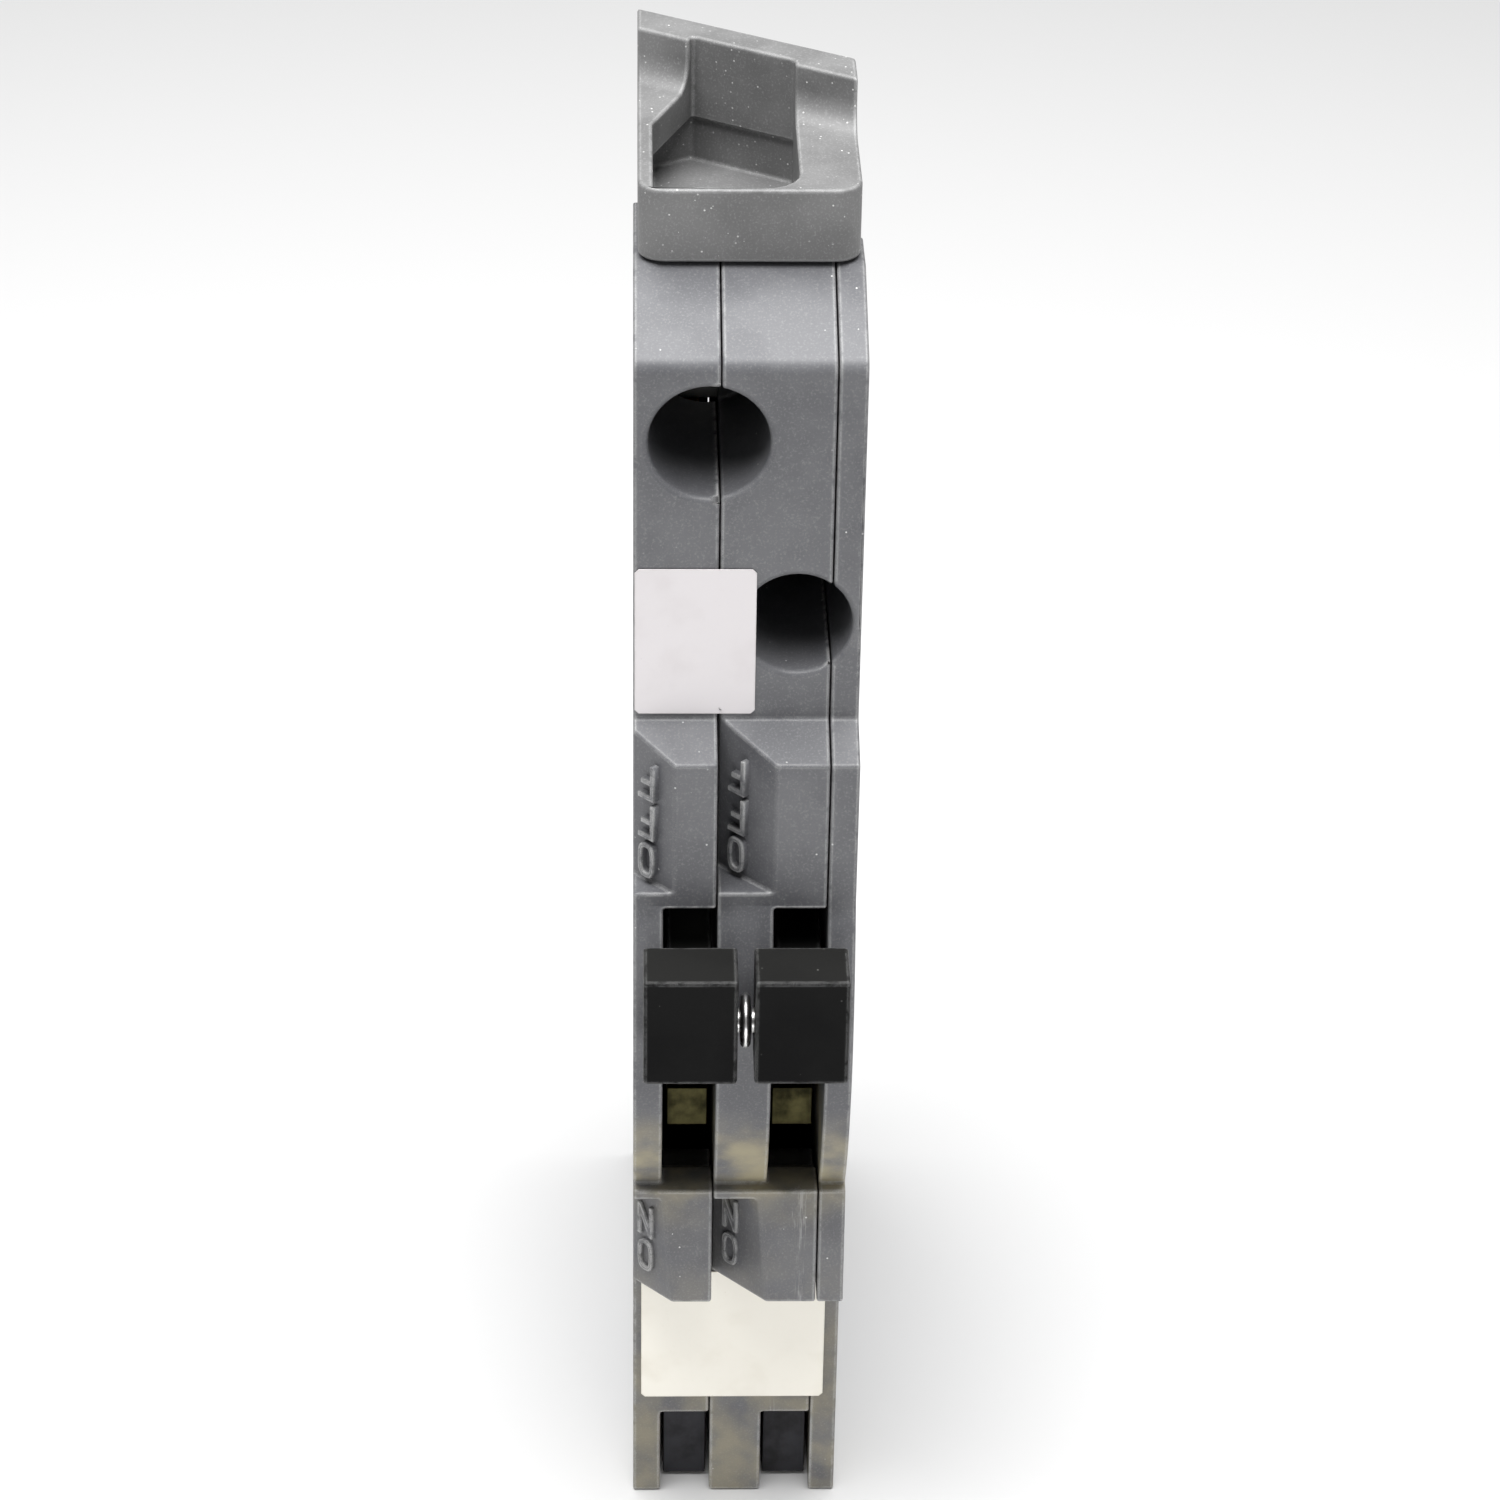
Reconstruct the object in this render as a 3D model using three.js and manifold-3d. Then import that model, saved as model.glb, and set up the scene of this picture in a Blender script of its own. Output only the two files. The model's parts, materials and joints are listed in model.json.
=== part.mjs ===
// Two-pole thin circuit breaker, standing on its line end.
// Millimetres. +X runs across the poles, +Z towards the load end, and the
// handles face -Y. The origin is the middle of the line end's flat face.
import * as THREE from 'three';
import { mergeVertices } from 'three/addons/utils/BufferGeometryUtils.js';
import Module from 'manifold-3d';

const wasm = await Module();
wasm.setup();

// ---- Driving dimensions: the three mouldings ----
const LEFT_WIDTH = 7.15;        // base of pole 1
const CENTRE_WIDTH = 9.45;      // cover of pole 1 and base of pole 2
const COVER_WIDTH = 2.45;       // cover of pole 2
const SEAM_GAP = 0.12;          // open line between two mouldings
const SIDE_WALL = 1.9;          // left wall of pole 1
const DIVIDER = 2.2;            // wall between the poles
const WALL = 2.0;               // front, back and end walls
const HEIGHT = 119.5;           // line end to the ridge at the load end
const DEPTH = 56;               // terminal face to the back
const CLEARANCE = 0.3;          // between pieces that meet

// ---- Front profile; a depth is counted from the terminal face inwards ----
const PANEL_DEPTH = 2.2;        // line-end panel, which carries the cream label
const PANEL_TOP = 27;
const ON_FACE_PROUD = 3.5;      // raised face with the ON recess
const ON_FACE_LEAN = 0.9;       // how far its upper edge falls back
const SLOT_BOTTOM = 38.9;       // handle slot, along the height
const SLOT_TOP = 70.4;
const SLOT_WIDTH = 4.6;
const CROWN_RADIUS = 35;        // curved front that the handles sweep over
const CROWN_PROUD = 7;
const PIVOT_HEIGHT = 58;
const OFF_FACE_PROUD = 4.6;     // raised face with the OFF recess
const OFF_FACE_TOP = 84.6;
const STEP_RISE = 1.9;          // sloping step up to the terminal face
const RIDGE_RADIUS = 1.6;
const SLOPE_DEPTH = 9.5;        // sloping load end
const SLOPE_RISE = 4.6;
const SHOULDER_DEPTH = 15;      // where the foot's seat starts
const SEAT_DROP = 2.7;
const SEAT_END = 28;            // where the seat ends and the back slope starts
const BACK_FALL = 20;           // how far the load end drops at the back

// ---- Recesses beside the handles ----
const OFF_RECESS_HEIGHT = 13.2;
const ON_RECESS_HEIGHT = 11;
const LEFT_RECESS = 3.5;        // width of the recesses of pole 1
const CENTRE_RECESS = 4.9;      // and of pole 2
const RECESS_WALL = 1.3;

// ---- Terminal wells, measured from the left side and below the ridge ----
const WELLS = [
  { x: LEFT_WIDTH - 0.95, below: 7.1, radius: 5.0, depth: 18 },
  { x: LEFT_WIDTH + CENTRE_WIDTH - 2.9, below: 23.9, radius: 4.6, depth: 30 },
];
const WELL_WALL = 1.2;
const WELL_RIM = 0.35;           // chamfer round its mouth

// ---- Bus slots at the line end ----
const BUS_SLOT_HEIGHT = 9.45;
const BUS_SLOT_DEPTH = 33;
const STAB_GAP = 1.4;           // room for the bus stab in the jaw
const SPRING_LEAF = 0.4;        // thickness of the clip round the jaw

// ---- Handles ----
const HANDLE_WIDTH = 8.0;
const HANDLE_HEIGHT = 10.4;
const HANDLE_PROUD = 13.5;      // front of the grip, ahead of the terminal face
const GRIP_THICKNESS = 5.6;
const HANDLE_REST = 5.5;        // grip's middle above the pivot, as it stands
const STEM_WIDTH = SLOT_WIDTH - 0.7;
const STEM_HEIGHT = 6.2;
const HUB_RADIUS = 4;
const PIVOT_PIN_RADIUS = 1.3;
const TIE_RADIUS = 1.1;
const COLLAR_RADIUS = 2.4;
const COLLAR_WIDTH = 0.9;
const TIE_BEHIND_FRONT = 3.9;
const TIE_LENGTH = 12;

// ---- Mounting foot ----
const FOOT_WIDTH = 18.3;
const FOOT_FRONT = 9;           // depth of its front face
const FOOT_SHELF = 11.3;        // shelf, hook and floor, above the ridge
const FOOT_HOOK = 15.6;
const FOOT_FLOOR = 4.2;
const FOOT_FLAP = 2;            // thickness under the pocket
const HOOK_LEFT = 33.4;         // depth of the hook's face at its two ends
const HOOK_RIGHT = 22.2;
const HOOK_THICKNESS = 4.7;
const HOOK_FILLET = 2.4;
const FOOT_CORNER = 2.2;
const POCKET_LEFT = 1.25;
const POCKET_RIGHT = 13.2;
const POCKET_LIP = 0.6;
const POCKET_KNEE = 3.4;        // width of its slanted corner at the hook
const POCKET_BACK = 1;          // its back wall, behind the hook's face
const POCKET_UNDERCUT = 0.6;
const POCKET_CORNER_HIGH = 9.85; // where that corner starts, ahead of the hook's face
const POCKET_CORNER_LOW = 2.65;
const POCKET_ROUND = 3;
const POCKET_FLOOR_STEP = 4;    // the undercut's height above the floor
const FOOT_SCREW_X = 5.8;       // from the foot's left side
const FOOT_SCREW_DEPTH = 23.8;
const FOOT_SCREW_HOLE = 1.9;

// ---- Mechanism, one set for each pole ----
const BLADE_WIDTH = SLOT_WIDTH - 1;
const ARM_PIVOT = { depth: 14, height: PIVOT_HEIGHT - 14 };
const CRADLE_PIVOT = { depth: DEPTH - 18, height: PIVOT_HEIGHT - 8 };
const ARMATURE_PIVOT = { depth: DEPTH - 13, height: PIVOT_HEIGHT + 26.5 };
const TRIP_BAR = { depth: DEPTH - 18.5, height: PIVOT_HEIGHT + 29, radius: 1.4 };
const POST_RADIUS = 1.0;
const CONTACT_HEIGHT = 22;
const CONTACT_RADIUS = 1.5;
const ARM_CONTACT_DEPTH = 21.2;
const ARM_THICKNESS = 1.2;
const ARM_LIFT = 2.8;           // how far the moving contact rises as it closes
const ARM_REACH = 11;           // from its pivot to the tip behind the handle
const ARM_TIP_RISE = 2.2;       // top of that tip above the pivot
const ARM_TIP_HEIGHT = 4;
const STRAP_DEPTH = 29.5;       // line strap that carries the fixed contact
const STRAP_THICKNESS = 1.1;
const STRAP_CLIMB = 8.6;        // most that a load strap slants on its way to the lug
const BIMETAL = { depth: DEPTH - 9, thickness: 0.9, width: SLOT_WIDTH - 2, low: PIVOT_HEIGHT + 6,
  high: PIVOT_HEIGHT + 30 };
const ARC_PLATES = 3;
const ARC_PLATE_PITCH = 4.4;
const RIVET_RADIUS = 1.2;
const RIVET_HEAD = 2.1;
const RIVET_HEAD_DEPTH = 0.7;
const RIVETS = [
  { depth: DEPTH - 5, height: 16 },
  { depth: DEPTH - 3.8, height: OFF_FACE_TOP - 2.6 },
  { depth: 7.5, height: PANEL_TOP + 6 },
  { depth: 5, height: OFF_FACE_TOP - 3.1 },
];
const RIVET_BOSS = 2.6;

// ---- Terminals: box lugs whose screws are driven from the load end ----
const LUG_WIDTH = 6.2;
const LUG_LENGTH = 10;
const LUG_HEIGHT = 10.4;
const LUGS = [
  { x: LEFT_WIDTH - 1.3, depth: WELLS[0].depth + 6 },
  { x: LEFT_WIDTH + CENTRE_WIDTH - 3.4, depth: WELLS[1].depth + 6 },
];
const WIRE_RADIUS = 2.5;
const SCREW_RADIUS = 1.5;
const SCREW_HEAD = 2.6;
const SCREW_HEAD_HEIGHT = 1.5;
const CLAMP_TRAVEL = 1.4;       // of a terminal screw and its pressure plate

// ---- Labels ----
const PAPER = 0.12;
const PAPER_GAP = 0.05;         // between a label and its face
const TOP_LABEL = { left: 0.12, right: WELLS[1].x - 3.45, bottom: 32.4, top: 18.6 };   // below the ridge
// The lower label's ends are below the panel's top.
const LOW_LABEL = { left: 0.75, right: LEFT_WIDTH + CENTRE_WIDTH + 1.15, bottom: 15.5, top: 0.8 };
const LABEL_CORNER = 0.35;

// ---- Values worked out from the above ----
const WIDTH = LEFT_WIDTH + CENTRE_WIDTH + COVER_WIDTH;
const LEFT = -WIDTH / 2;
const SEAM_1 = LEFT + LEFT_WIDTH;
const SEAM_2 = SEAM_1 + CENTRE_WIDTH;
const POLES = [SEAM_1 - SLOT_WIDTH / 2, SEAM_2 - SLOT_WIDTH / 2];
const CROWN_CENTRE = CROWN_RADIUS - CROWN_PROUD;
const RIDGE = HEIGHT;
const SEAT = RIDGE + SLOPE_RISE - SEAT_DROP;
const BACK_TOP = SEAT - BACK_FALL;
const FOOT_LEFT = -FOOT_WIDTH / 2;
const OFF_RECESS_LOW = OFF_FACE_TOP + 0.5 - OFF_RECESS_HEIGHT;

// ---- Finishes ----
const finish = (color, roughness, metalness) =>
  new THREE.MeshStandardMaterial({ color, roughness, metalness });
const CASE = finish(0x77767c, 0.55, 0);
const FOOT = finish(0x7b7b79, 0.6, 0);
const BLACK = finish(0x1b1b1b, 0.4, 0);
const STEEL = finish(0xb9bcc0, 0.3, 1);
const DARK_STEEL = finish(0x3a3a3c, 0.45, 1);
const COPPER = finish(0xb06a43, 0.35, 1);
const BRASS = finish(0xa8935a, 0.4, 1);
const SILVER = finish(0xd8d8d4, 0.3, 1);
const WHITE_PAPER = finish(0xe7e3e4, 0.8, 0);
const CREAM_PAPER = finish(0xebe9e1, 0.8, 0);

// ---- Geometry helpers ----
const at = (depth) => -DEPTH / 2 + depth;

function solid(geometry) {
  geometry.deleteAttribute('normal');
  geometry.deleteAttribute('uv');
  const merged = mergeVertices(geometry, 1e-5);
  const vertProperties = new Float32Array(merged.attributes.position.array);
  const triVerts = new Uint32Array(merged.index.array);
  return new wasm.Manifold(new wasm.Mesh({ numProp: 3, vertProperties, triVerts }));
}

function box(x, y, z) {
  const geometry = new THREE.BoxGeometry(x[1] - x[0], y[1] - y[0], z[1] - z[0]);
  geometry.translate((x[0] + x[1]) / 2, (y[0] + y[1]) / 2, (z[0] + z[1]) / 2);
  return solid(geometry);
}

// A box given by its depths behind the terminal face.
const block = (x, depths, z) => box(x, [at(depths[0]), at(depths[1])], z);

const around = (middle, width) => [middle - width / 2, middle + width / 2];

function extrude(points, length) {
  const shape = new THREE.Shape(points.map(([a, b]) => new THREE.Vector2(a, b)));
  return new THREE.ExtrudeGeometry(shape, { depth: length, bevelEnabled: false, curveSegments: 8 });
}

// A side-view outline of [depth, height] points, carried across from x[0] to x[1].
function prism(points, x) {
  const geometry = extrude(points.map(([depth, height]) => [at(depth), height]), x[1] - x[0]);
  const sideways = new THREE.Matrix4().makeBasis(
    new THREE.Vector3(0, 1, 0), new THREE.Vector3(0, 0, 1), new THREE.Vector3(1, 0, 0));
  geometry.applyMatrix4(sideways);
  geometry.translate(x[0], 0, 0);
  return solid(geometry);
}

// A plan outline of [x, depth] points, carried up from z[0] to z[1].
function slab(points, z) {
  const geometry = extrude(points.map(([x, depth]) => [x, at(depth)]), z[1] - z[0]);
  geometry.translate(0, 0, z[0]);
  return solid(geometry);
}

function rodGeometry(radius, length, sides) {
  return new THREE.CylinderGeometry(radius, radius, length, sides);
}

function rodX(radius, x, depth, height, sides = 24) {
  const geometry = rodGeometry(radius, x[1] - x[0], sides);
  geometry.rotateZ(-Math.PI / 2);
  geometry.translate((x[0] + x[1]) / 2, at(depth), height);
  return solid(geometry);
}

function rodY(radius, x, depths, height, sides = 24) {
  const geometry = rodGeometry(radius, depths[1] - depths[0], sides);
  geometry.translate(x, at((depths[0] + depths[1]) / 2), height);
  return solid(geometry);
}

function rodZ(radius, x, depth, z, sides = 24) {
  const geometry = rodGeometry(radius, z[1] - z[0], sides);
  geometry.rotateX(Math.PI / 2);
  geometry.translate(x, at(depth), (z[0] + z[1]) / 2);
  return solid(geometry);
}

function arc(centre, radius, from, to, steps) {
  const points = [];
  for (let i = 0; i <= steps; i += 1) {
    const angle = from + ((to - from) * i) / steps;
    points.push([centre[0] + radius * Math.cos(angle), centre[1] + radius * Math.sin(angle)]);
  }
  return points;
}

const union = (solids) => solids.reduce((sum, next) => sum.add(next));

const object = new THREE.Group();

function part(name, shape, material, group = object) {
  const { vertProperties, triVerts } = shape.getMesh();
  const geometry = new THREE.BufferGeometry();
  geometry.setAttribute('position', new THREE.BufferAttribute(vertProperties, 3));
  geometry.setIndex(new THREE.BufferAttribute(triVerts, 1));
  const mesh = new THREE.Mesh(geometry, material);
  mesh.name = name;
  group.add(mesh);
}

// ---- Case ----
// Points of the crown between two heights, at an inset from its outer face.
function crown(inset, low, high, steps) {
  const radius = CROWN_RADIUS - inset;
  const angle = (height) => Math.PI - Math.asin((height - PIVOT_HEIGHT) / radius);
  return arc([CROWN_CENTRE, PIVOT_HEIGHT], radius, angle(low), angle(high), steps);
}

// Height at which the crown, inset, runs into a face that stands proud.
function crownMeets(inset, proud) {
  const radius = CROWN_RADIUS - inset;
  const reach = CROWN_CENTRE + proud - inset;
  return PIVOT_HEIGHT + Math.sqrt(radius ** 2 - reach ** 2);
}

function ridgeFillet() {
  const lean = Math.atan2(SLOPE_RISE, SLOPE_DEPTH);
  const turn = Math.PI / 2 - lean;
  const setback = RIDGE_RADIUS * Math.tan(turn / 2);
  const centre = [RIDGE_RADIUS, RIDGE - setback];
  return arc(centre, RIDGE_RADIUS, Math.PI, Math.PI - turn, 6);
}

function caseOutline() {
  return [
    [DEPTH, 0],
    [PANEL_DEPTH, 0],
    [PANEL_DEPTH, PANEL_TOP],
    [-ON_FACE_PROUD, PANEL_TOP],
    [ON_FACE_LEAN - ON_FACE_PROUD, SLOT_BOTTOM],
    ...crown(0, SLOT_BOTTOM, crownMeets(0, OFF_FACE_PROUD), 24),
    [-OFF_FACE_PROUD, OFF_FACE_TOP],
    [0, OFF_FACE_TOP + STEP_RISE],
    ...ridgeFillet(),
    [SLOPE_DEPTH, RIDGE + SLOPE_RISE],
    [SHOULDER_DEPTH, RIDGE + SLOPE_RISE],
    [SHOULDER_DEPTH, SEAT],
    [SEAT_END, SEAT],
    [DEPTH, BACK_TOP],
  ];
}

function cavityOutline() {
  const floor = BUS_SLOT_HEIGHT + WALL;
  const top = SEAT - WALL;
  const panel = PANEL_DEPTH + WALL;
  const crownStart = SLOT_BOTTOM - WALL;
  return [
    [DEPTH - WALL, floor],
    [panel, floor],
    [panel, crownStart],
    ...crown(WALL, crownStart, crownMeets(WALL, OFF_FACE_PROUD), 12),
    [WALL - OFF_FACE_PROUD, OFF_FACE_TOP - WALL],
    [WALL, OFF_FACE_TOP + STEP_RISE - WALL],
    [WALL, RIDGE - WALL],
    [WALL + SLOPE_DEPTH / 2, top],
    [SEAT_END - WALL / 2, top],
    [DEPTH - WALL, BACK_TOP - WALL / 2],
  ];
}

// The handle slot, the bus slot and the way in from it, for one pole.
function slots(seam) {
  const x = [seam - SLOT_WIDTH, seam];
  const handle = block(x, [-CROWN_PROUD - 5, PANEL_DEPTH + 2 * WALL], [SLOT_BOTTOM, SLOT_TOP]);
  const bus = block(x, [PANEL_DEPTH - 5, BUS_SLOT_DEPTH], [-5, BUS_SLOT_HEIGHT]);
  const way = block(x, [WALL + 12, BUS_SLOT_DEPTH], [BUS_SLOT_HEIGHT - 1, BUS_SLOT_HEIGHT + WALL + 1]);
  return union([handle, bus, way]);
}

// A recess whose floor falls at 45 degrees from x = ridge down to x = low.
function recess(low, ridge, proud, z) {
  const drop = ridge - low;
  return slab([
    [ridge, -proud],
    [ridge, -proud - 5],
    [low - 1, -proud - 5],
    [low - 1, drop - proud + 1],
  ], z);
}

// Solid behind such a floor, so that it stays as thick as RECESS_WALL.
function backing(low, width) {
  const ridge = low + width;
  const back = width - OFF_FACE_PROUD + RECESS_WALL;
  return slab([
    [low, -OFF_FACE_PROUD],
    [ridge + RECESS_WALL, -OFF_FACE_PROUD],
    [low, back],
  ], [OFF_RECESS_LOW - RECESS_WALL, OFF_FACE_TOP + STEP_RISE]);
}

function recesses(low, width) {
  const ridge = low + width;
  const off = recess(low, ridge, OFF_FACE_PROUD, [OFF_RECESS_LOW, OFF_FACE_TOP + STEP_RISE + 1]);
  const on = recess(low, ridge, ON_FACE_PROUD, [PANEL_TOP - 1, PANEL_TOP + ON_RECESS_HEIGHT]);
  return off.add(on);
}

const wellHeight = (well) => RIDGE - well.below;

// The bore of a well, with its chamfered rim.
function wellBore(well) {
  const x = LEFT + well.x;
  const rim = new THREE.CylinderGeometry(well.radius, well.radius + 2 * WELL_RIM, 2 * WELL_RIM, 40);
  rim.translate(x, at(0), wellHeight(well));
  return rodY(well.radius, x, [-1, well.depth], wellHeight(well), 40).add(solid(rim));
}

const wellTube = (well) =>
  rodY(well.radius + WELL_WALL, LEFT + well.x, [WALL / 2, well.depth], wellHeight(well), 40);

function rivetHoles(x) {
  return union(RIVETS.map((rivet) =>
    rodX(RIVET_RADIUS + CLEARANCE / 2, x, rivet.depth, rivet.height)));
}

function rivetHeads(x) {
  return union(RIVETS.map((rivet) =>
    rodX(RIVET_HEAD + CLEARANCE / 2, x, rivet.depth, rivet.height)));
}

function rivetBosses(x) {
  return union(RIVETS.map((rivet) => rodX(RIVET_BOSS, x, rivet.depth, rivet.height)));
}

// Posts that the arm, cradle and armature turn on.
function posts(x) {
  return union([ARM_PIVOT, CRADLE_PIVOT, ARMATURE_PIVOT].map((pivot) =>
    rodX(POST_RADIUS, x, pivot.depth, pivot.height, 16)));
}

function lugPocket() {
  const lug = LUGS[0];
  const x = around(LEFT + lug.x, LUG_WIDTH + 2 * CLEARANCE);
  const z = around(wellHeight(WELLS[0]), LUG_HEIGHT + 2 * CLEARANCE);
  return block(x, around(lug.depth, LUG_LENGTH + 2 * CLEARANCE), z);
}

// Holes in the load end through which the terminal screws are driven.
function screwAccess() {
  return union(LUGS.map((lug) =>
    rodZ(SCREW_HEAD + CLEARANCE, LEFT + lug.x, lug.depth, [SEAT - WALL - 12, SEAT + 5])));
}

const pivotSocket = (x) =>
  rodX(PIVOT_PIN_RADIUS + CLEARANCE / 2, x, CROWN_CENTRE, PIVOT_HEIGHT);

const tripSocket = (x) =>
  rodX(TRIP_BAR.radius + CLEARANCE, x, TRIP_BAR.depth, TRIP_BAR.height);

function leftCase() {
  const x = [LEFT, SEAM_1 - SEAM_GAP / 2];
  const inside = [LEFT + SIDE_WALL, SEAM_1];
  const shell = prism(caseOutline(), x).subtract(prism(cavityOutline(), [inside[0], inside[1] + 1]));
  const fittings = union([rivetBosses([LEFT + 1, x[1]]), wellTube(WELLS[0]), backing(LEFT, LEFT_RECESS)])
    .intersect(prism(caseOutline(), x));
  const socket = [LEFT + SIDE_WALL / 2, inside[0] + 1];
  return shell
    .add(fittings)
    .add(posts([LEFT + 1, x[1] - CLEARANCE]))
    .subtract(slots(SEAM_1))
    .subtract(recesses(LEFT, LEFT_RECESS))
    .subtract(wellBore(WELLS[0]))
    .subtract(lugPocket())
    .subtract(screwAccess())
    .subtract(pivotSocket(socket))
    .subtract(rivetHoles([LEFT - 1, SEAM_1 + 1]))
    .subtract(rivetHeads([LEFT - 1, LEFT + RIVET_HEAD_DEPTH]));
}

function centreCase() {
  const x = [SEAM_1 + SEAM_GAP / 2, SEAM_2 - SEAM_GAP / 2];
  const inside = [SEAM_1 + DIVIDER, SEAM_2];
  const shell = prism(caseOutline(), x).subtract(prism(cavityOutline(), [inside[0], inside[1] + 1]));
  const fittings = union([rivetBosses(x), ...WELLS.map(wellTube), backing(SEAM_1, CENTRE_RECESS)])
    .intersect(prism(caseOutline(), x));
  const through = [SEAM_1 - 1, inside[0] + 1];
  return shell
    .add(fittings)
    .add(posts([SEAM_1 + DIVIDER / 2, x[1] - CLEARANCE]))
    .subtract(slots(SEAM_2))
    .subtract(recesses(SEAM_1, CENTRE_RECESS))
    .subtract(wellBore(WELLS[0]))
    .subtract(wellBore(WELLS[1]))
    .subtract(lugPocket())
    .subtract(screwAccess())
    .subtract(pivotSocket(through))
    .subtract(tripSocket(through))
    .subtract(rivetHoles([SEAM_1 - 1, SEAM_2 + 1]));
}

function rightCover() {
  const x = [SEAM_2 + SEAM_GAP / 2, SEAM_2 + COVER_WIDTH];
  return prism(caseOutline(), x)
    .subtract(wellBore(WELLS[1]))
    .subtract(rivetHoles([SEAM_2 - 1, x[1] + 1]))
    .subtract(rivetHeads([x[1] - RIVET_HEAD_DEPTH, x[1] + 1]));
}

function rivet(place) {
  const head = RIVET_HEAD_DEPTH - CLEARANCE / 2;
  const x = [LEFT + CLEARANCE / 2, LEFT + WIDTH - CLEARANCE / 2];
  return union([
    rodX(RIVET_RADIUS, x, place.depth, place.height),
    rodX(RIVET_HEAD, [x[0], x[0] + head - CLEARANCE / 2], place.depth, place.height),
    rodX(RIVET_HEAD, [x[1] - head + CLEARANCE / 2, x[1]], place.depth, place.height),
  ]);
}

// ---- Mounting foot ----
const hookFace = (x) =>
  HOOK_LEFT + ((HOOK_RIGHT - HOOK_LEFT) * (x - FOOT_LEFT)) / FOOT_WIDTH;

function footPlan() {
  const right = FOOT_LEFT + FOOT_WIDTH;
  const corner = FOOT_FRONT + FOOT_CORNER;
  return [
    ...arc([FOOT_LEFT + FOOT_CORNER, corner], FOOT_CORNER, Math.PI, 1.5 * Math.PI, 6),
    ...arc([right - FOOT_CORNER, corner], FOOT_CORNER, 1.5 * Math.PI, 2 * Math.PI, 6),
    [right, hookFace(right) + HOOK_THICKNESS],
    [FOOT_LEFT, hookFace(FOOT_LEFT) + HOOK_THICKNESS],
  ];
}

// What is cut away above the shelf, with a hollow curve running up the hook.
function footStep() {
  const shelf = RIDGE + FOOT_SHELF;
  const middle = hookFace(0);
  const profile = [
    [middle - 60, shelf],
    ...arc([middle - HOOK_FILLET, shelf + HOOK_FILLET], HOOK_FILLET, -Math.PI / 2, 0, 6),
    [middle, shelf + 30],
    [middle - 60, shelf + 30],
  ];
  const shear = (HOOK_RIGHT - HOOK_LEFT) / FOOT_WIDTH;
  const geometry = extrude(profile.map(([depth, height]) => [at(depth), height]), 2 * FOOT_WIDTH);
  geometry.applyMatrix4(new THREE.Matrix4().set(
    0, 0, 1, -FOOT_WIDTH,
    1, 0, shear, -shear * FOOT_WIDTH,
    0, 1, 0, 0,
    0, 0, 0, 1));
  return solid(geometry);
}

// Plan of the pocket. Below its upper edge the walls at the hook are cut further back.
function pocketPlan(recessed) {
  const left = FOOT_LEFT + POCKET_LEFT;
  const right = FOOT_LEFT + POCKET_RIGHT;
  const knee = left + POCKET_KNEE;
  const lip = FOOT_FRONT + POCKET_LIP;
  const behind = recessed ? POCKET_BACK + POCKET_UNDERCUT : POCKET_BACK;
  const cornerBack = hookFace(left) - (recessed ? POCKET_CORNER_LOW : POCKET_CORNER_HIGH);
  return [
    [left, lip],
    [left, cornerBack],
    [knee, hookFace(knee) + behind],
    [right, hookFace(right) + behind],
    ...arc([right - POCKET_ROUND, lip + POCKET_ROUND], POCKET_ROUND, 0, -Math.PI / 2, 5),
  ];
}

function mountingFoot() {
  const shelf = RIDGE + FOOT_SHELF;
  const floor = RIDGE + FOOT_FLOOR;
  const hook = RIDGE + FOOT_HOOK;
  const underFront = RIDGE + SLOPE_RISE + CLEARANCE;
  const underBack = floor - FOOT_FLAP;
  const seatFront = SHOULDER_DEPTH + CLEARANCE;
  const undercutTop = floor + POCKET_FLOOR_STEP;
  const body = slab(footPlan(), [underBack, hook])
    .subtract(footStep())
    .subtract(block([-FOOT_WIDTH, FOOT_WIDTH], [0, seatFront], [underBack - 1, underFront]));
  const pocketFront = block([-FOOT_WIDTH, FOOT_WIDTH], [0, seatFront + FOOT_FLAP],
    [floor - 1, underFront + FOOT_FLAP]);
  const upper = slab(pocketPlan(false), [undercutTop, hook + 1]);
  const lower = slab(pocketPlan(true), [floor, undercutTop + 0.01]).subtract(pocketFront);
  const screw = rodZ(FOOT_SCREW_HOLE, FOOT_LEFT + FOOT_SCREW_X, FOOT_SCREW_DEPTH, [floor - 9, floor + 1]);
  return body.subtract(upper).subtract(lower).subtract(screw);
}

// ---- Handles ----
// Outline of a handle: a hub, a tapering stem and the grip, seen from the side.
function handle(pole) {
  const reach = CROWN_CENTRE + HANDLE_PROUD;
  const gripBack = GRIP_THICKNESS - HANDLE_PROUD;
  const middle = PIVOT_HEIGHT + HANDLE_REST;
  const lean = Math.asin(HANDLE_REST / reach);
  const hubTop = lean - Math.PI / 2;
  const tip = (side) => [gripBack - 1, middle - 0.4 + (side * STEM_HEIGHT) / 2];
  const root = (side) => [
    CROWN_CENTRE - 1 + HUB_RADIUS * Math.cos(hubTop) * 0.3,
    PIVOT_HEIGHT + side * HUB_RADIUS * 0.9,
  ];
  const stem = prism([tip(-1), root(-1), root(1), tip(1)], around(pole, STEM_WIDTH));
  const grip = block(around(pole, HANDLE_WIDTH), [-HANDLE_PROUD, gripBack],
    around(middle, HANDLE_HEIGHT));
  return stem
    .add(rodX(HUB_RADIUS, around(pole, STEM_WIDTH), CROWN_CENTRE, PIVOT_HEIGHT, 28))
    .add(grip)
    .subtract(rodX(PIVOT_PIN_RADIUS + CLEARANCE / 2, around(pole, 9), CROWN_CENTRE, PIVOT_HEIGHT))
    .subtract(rodX(TIE_RADIUS + CLEARANCE / 2, tieSpan(CLEARANCE), tieDepth(), tieHeight()));
}

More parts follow.
